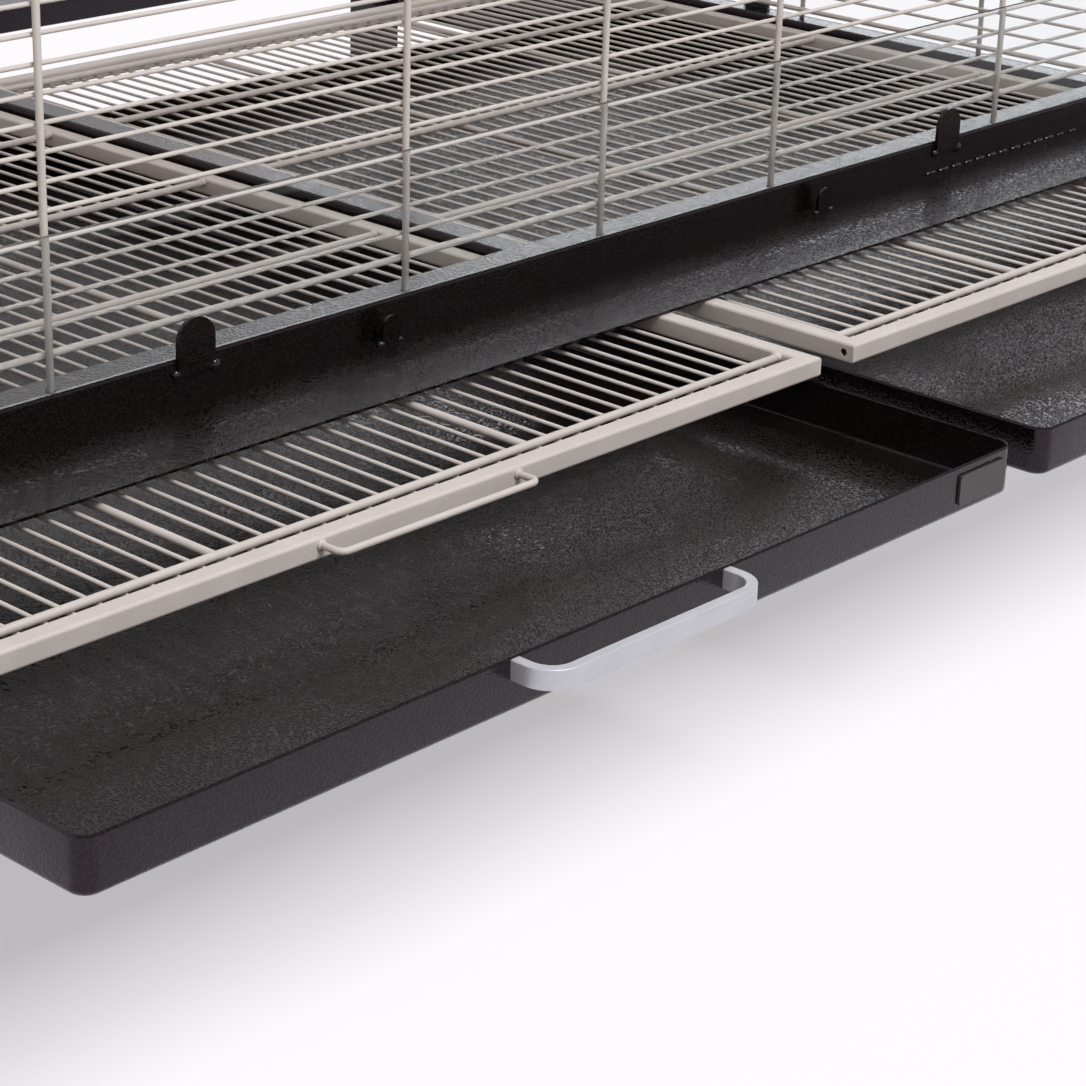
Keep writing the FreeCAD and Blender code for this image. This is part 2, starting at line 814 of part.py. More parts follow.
write("front_rail", front_rail())
write("front_ledge", front_ledge())
write("center_rail", center_rail())
write("back_rail", back_rail())
write("front_cross_tube", front_cross_tube())
write("tray_runners", runners(tray_floor_height, tray_runner_wide, runner_back_gap))
write("grate_runners", runners(grate_foot, grate_runner_wide, 0))
write("pane_clips", pane_clips())
write("ledge_stops", ledge_stops())
write("legs", [leg(*place_of) for place_of in stand()])
write("levelling_feet", [foot(x, y) for x, y, top in stand()])
write("corner_posts", corner_posts())
write("top_frame", top_frame())
write("mid_rail", mid_rail())
write("door_stiles", door_stiles())
write("end_plugs", end_plugs())
write("front_wire_panel", front_wire_panel())
write("rear_wire_panel", rear_wire_panel())
write("roof_wire_panel", roof_wire_panel())
write("hinge_pins", hinge_pins())
write("bolt_keepers", bolt_keepers())
write("perches", perches())
write("front_pane", front_pane())
write("tray_plate_left", tray_plate())

for side in SIDES:
    write("side_rail_" + side, place(side_rail(), side))
    write("front_field_" + side, [place(w, side) for w in front_field()])
    write("side_wire_panel_" + side, [place(w, side) for w in side_wire_panel()])
    write("side_pane_" + side, place(side_pane(), side))
    write("tray_" + side, place(tray(), side))
    write("tray_handle_" + side, place(tray_handle(), side))
    write("tray_screws_" + side, [place(s, side) for s in tray_screws()])
    write("grate_frame_" + side, place(grate_frame(), side))
    write("grate_wires_" + side, [place(w, side) for w in grate_wires()])
    write("grate_pull_" + side, place(grate_pull(), side))
    write("door_frame_" + side, place(door_frame(), side))
    write("door_wires_" + side, [place(w, side) for w in door_wires()])
    write("hinge_barrels_" + side, [place(b, side) for b in hinge_barrels()])
    write("bolt_guides_" + side, [place(g, side) for g in bolt_guides()])
    write("door_bolt_" + side, place(door_bolt(), side))
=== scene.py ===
import bpy
import json
import math
import random
from mathutils import Matrix, Vector


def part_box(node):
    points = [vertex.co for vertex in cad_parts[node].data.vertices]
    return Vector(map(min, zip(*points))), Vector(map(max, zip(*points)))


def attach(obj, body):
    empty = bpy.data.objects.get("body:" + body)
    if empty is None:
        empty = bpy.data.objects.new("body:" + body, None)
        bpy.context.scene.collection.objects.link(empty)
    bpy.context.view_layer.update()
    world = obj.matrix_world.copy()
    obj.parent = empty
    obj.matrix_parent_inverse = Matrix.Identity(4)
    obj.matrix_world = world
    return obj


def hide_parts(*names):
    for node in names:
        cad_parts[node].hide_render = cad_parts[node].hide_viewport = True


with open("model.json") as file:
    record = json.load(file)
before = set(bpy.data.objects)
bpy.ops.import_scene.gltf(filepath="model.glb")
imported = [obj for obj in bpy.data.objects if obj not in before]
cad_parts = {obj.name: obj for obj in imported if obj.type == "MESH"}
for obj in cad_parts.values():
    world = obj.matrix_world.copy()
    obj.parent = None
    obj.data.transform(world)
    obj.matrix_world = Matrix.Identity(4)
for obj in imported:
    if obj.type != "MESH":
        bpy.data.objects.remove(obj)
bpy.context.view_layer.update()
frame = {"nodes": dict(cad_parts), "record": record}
nodes = frame["nodes"]
rng = random.Random(7)

MM = 0.001
ROUND_OFF = 1e-6
SIDES = {"left": -1, "right": 1}


def box_mm(node):
    """Lowest and highest corners of a CAD node, in millimetres."""
    low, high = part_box(node)
    return low / MM, high / MM


def rows(first, last, step):
    """Places from first to last, a step apart."""
    return [first + step * i for i in range(int((last - first) / step + ROUND_OFF) + 1)]


# Places read from the frame, in millimetres
rail_low, rail_high = box_mm("front_rail")
back_low, back_high = box_mm("back_rail")
mid_low, mid_high = box_mm("mid_rail")
roof_low, roof_high = box_mm("top_frame")
ledge_low, ledge_high = box_mm("front_ledge")
RAIL_FACE, RAIL_BACK = rail_low.y, rail_high.y
RAIL_TUBE = RAIL_BACK - RAIL_FACE
BASE_TOP, FRONT_TOP = rail_low.z, rail_high.z
SIDE_INNER, SIDE_OUTER = mid_high.x, rail_high.x
BACK_INNER, BACK_FACE = back_low.y, back_high.y
MID_FOOT, MID_TOP = mid_low.z, mid_high.z
ROOF_FOOT, TOP = roof_low.z, roof_high.z
LEDGE_FRONT, LEDGE_TOP = ledge_low.y, ledge_high.z
STILE_OUTER = box_mm("door_stiles")[1].x

# Sizes shared with the solid model, in millimetres
BAR = 3.5
WIRE = 2.2
PITCH = 12.7
BAR_INSET = 5.0
END_BAR_GAP = 8.0
WIRE_END_GAP = 1.0
SOCKET = 4.0
INNER_BAR = 142.0
OUTER_BAR = 358.0
FIRST_ROW = FRONT_TOP + 15.5
SIDE_FIRST_ROW = BASE_TOP + 6.0
SIDE_BAR_FIRST = 166.0
SIDE_BAR_PITCH = 153.0
SIDE_BAR_COUNT = 4
ROOF_BARS_BESIDE = 3
DOOR_BARS = 3
DOOR_TUBE = 10.0
DOOR_WIRE_DEPTH = 3.4
GRATE_TUBE = 10.0
GRATE_ROD = 4.0
GRATE_WIRE = 2.0
GRATE_ROD_SUNK = 0.6
GRATE_ROD_INSET = 9.0
GRATE_ROD_PITCH = 140.0
GRATE_WIRE_NUB = 3.0
GRATE_GAPS = 40
GRATE_THICK_RODS = (13, 27)
PULL_SPAN = 117.0
PULL_DROP = 3.5
CLIP_X = (-280.0, 303.0)
CLIP_WIDE = 22.0
CLIP_FOOT = -7.7
STOP_X = (-163.0, 177.0)
STOP_WIDE = 12.0
STOP_AHEAD = 7.0
LEDGE_FALL = 4.1
TRAY_WALL = 1.2
TRAY_CORNER = 8.0
TRAY_FOOT_RADIUS = 3.0

END_BAR = SIDE_INNER - END_BAR_GAP
CROSS_BARS = [-END_BAR, -OUTER_BAR, -INNER_BAR, 0.0, INNER_BAR, OUTER_BAR, END_BAR]
FIELD_BARS = [STILE_OUTER + END_BAR_GAP, (STILE_OUTER + SIDE_INNER) / 2, END_BAR]
SIDE_BARS = [RAIL_BACK + END_BAR_GAP, BACK_INNER - END_BAR_GAP]
SIDE_BARS += [RAIL_FACE + SIDE_BAR_FIRST + SIDE_BAR_PITCH * i for i in range(SIDE_BAR_COUNT)]
FIELD_ROW = FIRST_ROW + math.ceil((MID_TOP + PITCH / 2 - FIRST_ROW) / PITCH) * PITCH
REAR_ROW = FIRST_ROW - math.floor((FIRST_ROW - BASE_TOP - BAR) / PITCH) * PITCH


# Parts of a material
LEVEL_POWER = 6.0


def new_material(name):
    """A node material, its tree, its shader and its place coordinates."""
    mat = bpy.data.materials.new(name)
    mat.use_nodes = True
    tree = mat.node_tree
    shader = tree.nodes["Principled BSDF"]
    coords = tree.nodes.new("ShaderNodeTexCoord")
    return mat, tree, shader, coords.outputs["Object"]


def plug(tree, shader, colour, rough, normal=None):
    """Link a shader's colour, its roughness and, where one is given, its normal."""
    tree.links.new(colour, shader.inputs["Base Color"])
    tree.links.new(rough, shader.inputs["Roughness"])
    if normal:
        tree.links.new(normal, shader.inputs["Normal"])


def noise(tree, where, scale, detail=2.0, roughness=0.5, stretch=None):
    """Noise by place, drawn out along an axis where a stretch is given."""
    node = tree.nodes.new("ShaderNodeTexNoise")
    node.inputs["Scale"].default_value = scale
    node.inputs["Detail"].default_value = detail
    node.inputs["Roughness"].default_value = roughness
    if stretch:
        mapping = tree.nodes.new("ShaderNodeMapping")
        mapping.inputs["Scale"].default_value = stretch
        tree.links.new(where, mapping.inputs["Vector"])
        where = mapping.outputs["Vector"]
    tree.links.new(where, node.inputs["Vector"])
    return node.outputs["Fac"]


def ramp(tree, value, stops):
    """Colour ramp from a list of (place, colour)."""
    node = tree.nodes.new("ShaderNodeValToRGB")
    points = node.color_ramp.elements
    while len(points) < len(stops):
        points.new(0.5)
    for point, (place, colour) in zip(points, stops):
        point.position = place
        point.color = (*colour, 1.0)
    tree.links.new(value, node.inputs["Fac"])
    return node.outputs["Color"]


def span(tree, value, low, high, from_low=0.3, from_high=0.7):
    """A value moved from one range to another, and held within it."""
    node = tree.nodes.new("ShaderNodeMapRange")
    node.inputs["From Min"].default_value = from_low
    node.inputs["From Max"].default_value = from_high
    node.inputs["To Min"].default_value = low
    node.inputs["To Max"].default_value = high
    tree.links.new(value, node.inputs["Value"])
    return node.outputs["Result"]


def sums(tree, operation, first, second=None):
    """A sum on one or two values, each a socket or a number."""
    node = tree.nodes.new("ShaderNodeMath")
    node.operation = operation
    for place, value in enumerate((first, second)):
        if value is None:
            continue
        if isinstance(value, (int, float)):
            node.inputs[place].default_value = value
        else:
            tree.links.new(value, node.inputs[place])
    return node.outputs["Value"]


def parts_of(tree, vector):
    """The X, Y and Z of a vector."""
    node = tree.nodes.new("ShaderNodeSeparateXYZ")
    tree.links.new(vector, node.inputs["Vector"])
    return node.outputs["X"], node.outputs["Y"], node.outputs["Z"]


def lying_flat(tree):
    """One on level faces, zero on upright ones."""
    coords = tree.nodes.new("ShaderNodeTexCoord")
    upward = sums(tree, "ABSOLUTE", parts_of(tree, coords.outputs["Normal"])[2])
    return sums(tree, "POWER", upward, LEVEL_POWER)


def bump(tree, height, depth):
    """A normal from a height, with its depth in metres."""
    node = tree.nodes.new("ShaderNodeBump")
    node.inputs["Strength"].default_value = 1.0
    node.inputs["Distance"].default_value = depth
    tree.links.new(height, node.inputs["Height"])
    return node.outputs["Normal"]


# Materials
DRIFT_SCALE = 35.0
HUMP_SCALE = 760.0
HUMP_REACH = (0.1, 0.7)
HUMP_FOOT_COLOUR = (0.0030, 0.0019, 0.0016)
HUMP_TOP_COLOUR = (0.0130, 0.0092, 0.0082)
HUMP_SHINE = (1.0, 0.82, 0.99, 1.0)
UPRIGHT_GRAIN = 0.35


def paint(name, dark, light, rough, grain_scale, grain_depth):
    """Paint with a slight drift of colour and a grain."""
    mat, tree, shader, where = new_material(name)
    drift = noise(tree, where, DRIFT_SCALE, detail=4.0)
    grain = noise(tree, where, grain_scale)
    plug(tree, shader,
         colour=ramp(tree, drift, [(0.3, dark), (0.7, light)]),
         rough=span(tree, grain, *rough),
         normal=bump(tree, grain, grain_depth))
    return mat


def make_hammered(name, depth, rough, index=1.4):
    """Glossy dark paint that dried in small round humps, which are flatter on upright faces."""
    mat, tree, shader, where = new_material(name)
    shader.inputs["IOR"].default_value = index
    shader.inputs["Specular Tint"].default_value = HUMP_SHINE
    cells = tree.nodes.new("ShaderNodeTexVoronoi")
    cells.inputs["Scale"].default_value = HUMP_SCALE
    tree.links.new(where, cells.inputs["Vector"])
    humps = span(tree, cells.outputs["Distance"], 1.0, 0.0, *HUMP_REACH)
    share = span(tree, lying_flat(tree), UPRIGHT_GRAIN, 1.0, 0.0, 1.0)
    plug(tree, shader,
         colour=ramp(tree, humps, [(0.2, HUMP_FOOT_COLOUR), (0.8, HUMP_TOP_COLOUR)]),
         rough=span(tree, humps, *rough, 0.0, 1.0),
         normal=bump(tree, sums(tree, "MULTIPLY", humps, share), depth))
    return mat


def make_aluminium():
    """Satin metal with fine lines along X."""
    mat, tree, shader, where = new_material("satin_aluminium")
    shader.inputs["Metallic"].default_value = 0.7
    drift = noise(tree, where, scale=60.0, detail=3.0)
    lines = noise(tree, where, scale=900.0, stretch=(0.02, 1.0, 1.0))
    plug(tree, shader,
         colour=ramp(tree, drift, [(0.3, (0.55, 0.55, 0.59)), (0.7, (0.60, 0.60, 0.64))]),
         rough=span(tree, lines, 0.45, 0.58),
         normal=bump(tree, lines, depth=0.00002))
    return mat


def make_steel():
    """Bare metal, a little uneven in colour and gloss."""
    mat, tree, shader, where = new_material("plain_steel")
    shader.inputs["Metallic"].default_value = 1.0
    drift = noise(tree, where, scale=120.0, detail=3.0)
    plug(tree, shader,
         colour=ramp(tree, drift, [(0.3, (0.42, 0.42, 0.43)), (0.7, (0.55, 0.55, 0.56))]),
         rough=span(tree, drift, 0.2, 0.32))
    return mat


def make_acrylic():
    """Clear sheet with a faint haze, whose level edges are sawn and dull, and darker by painted shade."""
    mat, tree, shader, where = new_material("clear_acrylic")
    shader.inputs["Transmission Weight"].default_value = 1.0
    shader.inputs["IOR"].default_value = 1.2
    sawn_and_shaded = lying_flat(tree)
    haze = noise(tree, where, scale=14.0, detail=3.0)
    # The dark first stop paints shade on the level edges; their roughness is the dull sawn finish
    stops = [(0.0, (0.30, 0.31, 0.31)), (0.3, (0.94, 0.96, 0.96)), (0.7, (0.965, 0.975, 0.975))]
    plug(tree, shader,
         colour=ramp(tree, sums(tree, "SUBTRACT", haze, sawn_and_shaded), stops),
         rough=sums(tree, "MAXIMUM", span(tree, haze, 0.0, 0.03), span(tree, sawn_and_shaded, 0.0, 0.7, 0.4, 0.6)))
    return mat


def make_beech():
    """Pale wood with its grain along Y."""
    mat, tree, shader, where = new_material("beech")
    rings = noise(tree, where, scale=160.0, detail=4.0, roughness=0.6, stretch=(1.0, 0.04, 1.0))
    stops = [(0.25, (0.36, 0.21, 0.11)), (0.55, (0.52, 0.34, 0.19)), (0.8, (0.60, 0.42, 0.26))]
    plug(tree, shader,
         colour=ramp(tree, rings, stops),
         rough=span(tree, rings, 0.5, 0.68),
         normal=bump(tree, rings, depth=0.00015))
    return mat


frame_paint = make_hammered("dark_frame_paint", depth=0.00018, rough=(0.15, 0.20))
sheet_paint = make_hammered("dark_sheet_paint", depth=0.00020, rough=(0.11, 0.15))
weld_paint = make_hammered("dark_weld_paint", depth=0.00002, rough=(0.05, 0.08), index=1.65)
plate_paint = paint("blank_plate_paint", dark=(0.030, 0.026, 0.026), light=(0.040, 0.035, 0.035),
                    rough=(0.36, 0.46), grain_scale=900.0, grain_depth=0.00006)
powder = paint("beige_powder_coat", dark=(0.60, 0.545, 0.50), light=(0.66, 0.605, 0.56),
               rough=(0.42, 0.55), grain_scale=1300.0, grain_depth=0.00008)
plastic = paint("black_plastic", dark=(0.012, 0.012, 0.012), light=(0.02, 0.02, 0.02),
                rough=(0.5, 0.65), grain_scale=1500.0, grain_depth=0.0001)

BY_SLOT = {
    "dark_hammered_paint": frame_paint,
    "beige_powder_coat": powder,
    "satin_aluminium": make_aluminium(),
    "plain_steel": make_steel(),
    "clear_acrylic": make_acrylic(),
    "black_plastic": plastic,
    "beech": make_beech(),
}
for part in frame["record"]["subparts"]:
    data = nodes[part["node"]].data
    data.materials.clear()
    data.materials.append(BY_SLOT[part["material_slot"]])
nodes["tray_plate_left"].data.materials[0] = plate_paint
nodes["front_ledge"].data.materials[0] = sheet_paint


# Small rounded edges on CAD nodes that have sharp ones
EASED_NODES = ("pane_clips", "ledge_stops", "tray_plate_left", "bolt_guides_left", "bolt_guides_right",
               "bolt_keepers")
EASED_WIDTH = 0.5
EASED_STEPS = 2
EASED_ANGLE = 40.0

for name in EASED_NODES:
    bevel = nodes[name].modifiers.new("eased_edges", "BEVEL")
    bevel.width = EASED_WIDTH * MM
    bevel.segments = EASED_STEPS
    bevel.limit_method = "ANGLE"
    bevel.angle_limit = math.radians(EASED_ANGLE)


# Pieces in mesh code
BEAD_SMOOTH = 40.0
WIRE_SMOOTH = 60.0
TRAY_SMOOTH = 25.0
THICK_FROM = 3.0
THICK_SIDES = 14
THIN_SIDES = 10
ROD_STEPS = 6
ROD_EASE_SHARE = 0.35
ROD_END_SHARE = 0.6
BEAD_RINGS = 8
BEAD_SIDES = 14


def add_piece(name, verts, faces, slot, body, smooth):
    """A mesh piece, given in millimetres, that rides on a body and has its slot's material."""
    mesh = bpy.data.meshes.new(name)
    mesh.from_pydata([Vector(v) * MM for v in verts], [], faces)
    mesh.validate()
    mesh.shade_smooth()
    mesh.set_sharp_from_angle(angle=math.radians(smooth))
    mesh.materials.append(BY_SLOT[slot])
    obj = bpy.data.objects.new(name, mesh)
    bpy.context.scene.collection.objects.link(obj)
    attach(obj, body)
    return obj


def loft(verts, faces, loops):
    """Join point loops of equal length into a closed skin, and add it to the lists given."""
    first = len(verts)
    count = len(loops[0])
    for loop in loops:
        verts.extend(loop)
    for i in range(len(loops) - 1):
        a = first + i * count
        for k in range(count):
            n = (k + 1) % count
            faces.append((a + k, a + n, a + count + n, a + count + k))
    last = first + (len(loops) - 1) * count
    faces.append(tuple(first + k for k in reversed(range(count))))
    faces.append(tuple(last + k for k in range(count)))


def add_rod(verts, faces, start, end, size, sides, bow):
    """A round rod with eased ends and a slight bow."""
    start, end = Vector(start), Vector(end)
    run = end - start
    axis = run.normalized()
    across = axis.orthogonal().normalized()
    other = axis.cross(across)
    radius = size / 2
    ease = radius * ROD_EASE_SHARE
    turn = rng.uniform(0, 2 * math.pi)
    lean = across * math.cos(turn) + other * math.sin(turn)
    places = [(0.0, radius * ROD_END_SHARE), (ease, radius)]
    places += [(run.length * i / ROD_STEPS, radius) for i in range(1, ROD_STEPS)]
    places += [(run.length - ease, radius), (run.length, radius * ROD_END_SHARE)]
    loops = []
    for place, wide in places:
        middle = start + axis * place + lean * (bow * math.sin(math.pi * place / run.length))
        loop = []
        for k in range(sides):
            angle = 2 * math.pi * k / sides
            loop.append(middle + across * (wide * math.cos(angle)) + other * (wide * math.sin(angle)))
        loops.append(loop)
    loft(verts, faces, loops)


def add_bead(verts, faces, middle, size):
    """A small round bead of weld metal, given by its middle and its three half sizes."""
    loops = []
    for i in range(1, BEAD_RINGS):
        angle = math.pi * i / BEAD_RINGS
        loop = []
        for k in range(BEAD_SIDES):
            turn = 2 * math.pi * k / BEAD_SIDES
            loop.append((middle[0] + size[0] * math.sin(angle) * math.cos(turn),
                         middle[1] + size[1] * math.sin(angle) * math.sin(turn),
                         middle[2] - size[2] * math.cos(angle)))
        loops.append(loop)
    loft(verts, faces, loops)


# Wire panels
WALL_BOW = 0.35
GRATE_BOW = 0.2


def wire_piece(name, rods, body, bow):
    """A welded wire panel in place of its plain rods."""
    verts, faces = [], []
    for start, end, size in rods:
        if size > THICK_FROM:
            add_rod(verts, faces, start, end, size, THICK_SIDES, 0.0)
        else:
            add_rod(verts, faces, start, end, size, THIN_SIDES, rng.uniform(0, bow))
    piece = add_piece(name + "_wirework", verts, faces, "beige_powder_coat", body, WIRE_SMOOTH)
    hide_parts(name)


def cross_panel(bars, x, bar_y, inward, foot, top, first, foot_wire):
    """Rods of a panel across the width, as (start, end, size)."""
    rods = [((b, bar_y, foot - SOCKET), (b, bar_y, top + SOCKET), BAR) for b in bars]
    for i, level in enumerate(rows(first, top - PITCH / 2, PITCH)):
        thick = BAR if foot_wire and i == 0 else WIRE
        y = bar_y + inward * (BAR + thick) / 2
        rods.append(((x[0], y, level), (x[1], y, level), thick))
    return rods


def side_panel(sign):
    """Rods of a side wall, with a thick foot wire."""
    x = SIDE_OUTER - BAR_INSET
    y = (RAIL_BACK + WIRE_END_GAP, BACK_INNER - WIRE_END_GAP)
    foot, top = BASE_TOP - SOCKET, ROOF_FOOT + SOCKET
    rods = [((sign * x, place, foot), (sign * x, place, top), BAR) for place in SIDE_BARS]
    for i, level in enumerate(rows(SIDE_FIRST_ROW, ROOF_FOOT - PITCH / 2, PITCH)):
        thick = BAR if i == 0 else WIRE
        wire_x = sign * (x - (BAR + thick) / 2)
        rods.append(((wire_x, y[0], level), (wire_x, y[1], level), thick))
    return rods


def roof_panel():
    """Rods of the roof: bars from front to back, with wires under them."""
    level = TOP - RAIL_TUBE / 2
    rods = []
    for i in range(-ROOF_BARS_BESIDE, ROOF_BARS_BESIDE + 1):
        x = i * INNER_BAR
        rods.append(((x, RAIL_BACK, level), (x, BACK_INNER, level), BAR))
    under = level - (BAR + WIRE) / 2
    for y in rows(RAIL_BACK + PITCH, BACK_INNER - PITCH / 2, PITCH):
        rods.append(((-SIDE_INNER, y, under), (SIDE_INNER, y, under), WIRE))
    return rods


def door_rods(side):
    """Rods between the inner faces of a door's frame."""
    low, high = box_mm("door_frame_" + side)
    x = (low.x + DOOR_TUBE, high.x - DOOR_TUBE)
    z = (low.z + DOOR_TUBE, high.z - DOOR_TUBE)
    bar_y = RAIL_FACE + DOOR_WIRE_DEPTH
    step = (x[1] - x[0]) / (DOOR_BARS + 1)
    rods = []
    for i in range(1, DOOR_BARS + 1):
        rods.append(((x[0] + step * i, bar_y, z[0]), (x[0] + step * i, bar_y, z[1]), BAR))
    y = bar_y + (BAR + WIRE) / 2
    for level in rows(FIELD_ROW + PITCH, z[1] - PITCH / 2, PITCH):
        rods.append(((x[0], y, level), (x[1], y, level), WIRE))
    return rods


front_y = RAIL_FACE + BAR_INSET
rear_y = BACK_FACE - BAR_INSET
wide_run = (-SIDE_INNER + WIRE_END_GAP, SIDE_INNER - WIRE_END_GAP)
front_rods = cross_panel(CROSS_BARS, wide_run, front_y, 1, FRONT_TOP, MID_FOOT, FIRST_ROW, True)
rear_rods = cross_panel(CROSS_BARS, wide_run, rear_y, -1, BASE_TOP, ROOF_FOOT, REAR_ROW, True)
wire_piece("front_wire_panel", front_rods, "base", WALL_BOW)
wire_piece("rear_wire_panel", rear_rods, "base", WALL_BOW)
wire_piece("roof_wire_panel", roof_panel(), "base", WALL_BOW)
for side, sign in SIDES.items():
    bars = [sign * b for b in FIELD_BARS]
    run = sorted((sign * (STILE_OUTER + WIRE_END_GAP), sign * (SIDE_INNER - WIRE_END_GAP)))
    field_rods = cross_panel(bars, run, front_y, 1, MID_TOP, ROOF_FOOT, FIELD_ROW, False)
    wire_piece("front_field_" + side, field_rods, "base", WALL_BOW)
    wire_piece("side_wire_panel_" + side, side_panel(sign), "base", WALL_BOW)
    wire_piece("door_wires_" + side, door_rods(side), "door_" + side, WALL_BOW)


# Grate wires
def grate_inside(side):
    """Inner faces of a grate's frame, as pairs along X and Y, and the level of its cross rods."""
    low, high = box_mm("grate_frame_" + side)
    x = (low.x + GRATE_TUBE, high.x - GRATE_TUBE)
    y = (low.y + GRATE_TUBE, high.y - GRATE_TUBE)
    return x, y, high.z - GRATE_ROD_SUNK - GRATE_ROD / 2


def cross_rod_places(y):
    """Places of a grate's cross rods from front to back."""
    first, last = y[0] + GRATE_ROD_INSET, y[1] - GRATE_ROD_INSET
    return rows(first, last - GRATE_ROD_PITCH / 2, GRATE_ROD_PITCH) + [last]


def grate_rods(side):
    """Cross rods, with the thin wires and the thick rods under them."""
    x, y, level = grate_inside(side)
    places = cross_rod_places(y)
    rods = [((x[0], place, level), (x[1], place, level), GRATE_ROD) for place in places]
    thin = (places[0] - GRATE_WIRE_NUB, places[-1] + GRATE_WIRE_NUB)
    for i in range(1, GRATE_GAPS):
        at = x[0] + (x[1] - x[0]) * i / GRATE_GAPS
        if i in GRATE_THICK_RODS:
            rods.append(((at, y[0], level - GRATE_ROD), (at, y[1], level - GRATE_ROD), GRATE_ROD))
        else:
            under = level - (GRATE_ROD + GRATE_WIRE) / 2
            rods.append(((at, thin[0], under), (at, thin[1], under), GRATE_WIRE))
    return rods


for side in SIDES:
    wire_piece("grate_wires_" + side, grate_rods(side), "grate_" + side, GRATE_BOW)


# Trays, in millimetres
CORNER_STEPS = 6
SIDE_STEPS = (30, 22)
BEND_STEPS = 5
CORNER_LEAST = 2.0
RIM_DROP = 1.1
FLOOR_INSETS = [TRAY_FOOT_RADIUS, 8.0, 16.0, 28.0, 42.0, 58.0, 76.0, 96.0, 118.0, 142.0, 168.0, 196.0,
                226.0, 252.0, 270.0]
WAVE_RISE = 60.0
BROAD_WAVE = 0.7
BROAD_LENGTHS = (31.0, 43.0)
BROAD_SHIFT = 1.1
FINE_WAVE = 0.35
FINE_LENGTHS = (19.0, 27.0)
WAVE_PHASES = {"left": 0.6, "right": 2.3}


def rounded_loop(x, y, inset, height):
    """Points round a tray's outline moved in by an inset, anticlockwise seen from above."""
    radius = max(TRAY_CORNER - inset, CORNER_LEAST)
    x0, x1 = x[0] + inset + radius, x[1] - inset - radius
    y0, y1 = y[0] + inset + radius, y[1] - inset - radius
    middles = [(x1, y0), (x1, y1), (x0, y1), (x0, y0)]
    points = []
    for i, middle in enumerate(middles):
        for k in range(CORNER_STEPS + 1):
            angle = math.pi / 2 * (i - 1 + k / CORNER_STEPS)
            points.append((middle[0] + radius * math.cos(angle), middle[1] + radius * math.sin(angle)))
        following = middles[(i + 1) % 4]
        start = points[-1]
        end = (following[0] + radius * math.cos(angle), following[1] + radius * math.sin(angle))
        for k in range(1, SIDE_STEPS[i % 2]):
            share = k / SIDE_STEPS[i % 2]
            points.append((start[0] + (end[0] - start[0]) * share, start[1] + (end[1] - start[1]) * share))
    return [(px, py, height(px, py)) for px, py in points]


def sheet_wave(x, y, phase):
    """Shallow waves of a thin folded sheet."""
    broad = math.sin(x / BROAD_LENGTHS[0] + phase) * math.sin(y / BROAD_LENGTHS[1] + BROAD_SHIFT)
    fine = math.sin(x / FINE_LENGTHS[0] - y / FINE_LENGTHS[1] + 2.0 * phase)
    return BROAD_WAVE * broad + FINE_WAVE * fine


def floor_loops(level):
    """Loops of a tray's floor from its edge to its middle, with waves that start near the edge."""
    return [(inset, level, min(1.0, (inset - TRAY_FOOT_RADIUS) / WAVE_RISE)) for inset in FLOOR_INSETS]


def bend_loops(radius, foot):
    """Loops of the bend from a tray's floor up to its wall."""
    level = foot + TRAY_FOOT_RADIUS
    turns = [math.pi / 2 * k / BEND_STEPS for k in range(1, BEND_STEPS + 1)]
    return [(TRAY_FOOT_RADIUS - radius * math.sin(t), level - radius * math.cos(t), 0.0) for t in turns]


def tray_profile(foot, top):
    """Inset, level and share of wave of each loop, from under the floor's middle round to above it."""
    half_wall = TRAY_WALL / 2
    outside = floor_loops(foot)[::-1] + bend_loops(TRAY_FOOT_RADIUS, foot)
    rim = [(0.0, top - RIM_DROP, 0.0), (half_wall, top, 0.0), (TRAY_WALL, top - half_wall, 0.0)]
    inside = bend_loops(TRAY_FOOT_RADIUS - TRAY_WALL, foot)[::-1] + floor_loops(foot + TRAY_WALL)
    return outside + rim + inside


def make_tray(side, phase):
    """A folded sheet pan in place of its plain solid."""
    low, high = box_mm("tray_" + side)
    x, y = (low.x, high.x), (low.y, high.y)
    loops = []
    for inset, level, share in tray_profile(low.z, high.z):
        loops.append(rounded_loop(x, y, inset, lambda px, py: level + share * sheet_wave(px, py, phase)))
    verts, faces = [], []
    loft(verts, faces, loops)
    piece = add_piece("tray_pan_" + side, verts, faces, "dark_hammered_paint", "tray_" + side, TRAY_SMOOTH)
    piece.data.materials[0] = sheet_paint
    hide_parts("tray_" + side)


for side, phase in WAVE_PHASES.items():
    make_tray(side, phase)


# Weld beads: half sizes along X, Y and Z, and places, in millimetres
BEAD_SWELL = (0.85, 1.15)
CLIP_BEAD = (2.6, 1.9, 2.7)
CLIP_BEAD_ASIDE = 0.4
CLIP_BEAD_AHEAD = 0.8
CLIP_BEAD_RISE = 0.6
SIDE_CLIP_BEAD = (1.3, 2.6, 2.7)
SIDE_CLIP_BEAD_OUT = 0.4
STOP_BEAD = (2.0, 1.8, 1.8)
STOP_BEAD_ASIDE = 0.3
STOP_BEAD_RISE = 0.3
SEAM_BEAD = (4.2, 1.4, 1.1)
SEAM_ENDS = (274.0, 120.0)
SEAM_PITCH = 12.6
SEAM_SHIFT = 0.8
SEAM_AHEAD = 0.5
SEAM_RISE = 0.2
ROD_BEAD = (2.4, 2.7, 2.3)
ROD_BEAD_IN = 1.2
ROD_BEAD_RISE = 0.5
THICK_ROD_BEAD = (2.7, 2.2, 2.4)
THICK_ROD_BEAD_IN = 1.0
PULL_BEAD = (2.5, 1.3, 2.4)
PULL_BEAD_AHEAD = 0.3


def weld_piece(name, beads, slot, body):
    """Beads of slightly different sizes as one piece."""
    verts, faces = [], []
    for middle, size in beads:
        swell = rng.uniform(*BEAD_SWELL)
        add_bead(verts, faces, middle, [s * swell for s in size])
    return add_piece(name, verts, faces, slot, body, BEAD_SMOOTH)


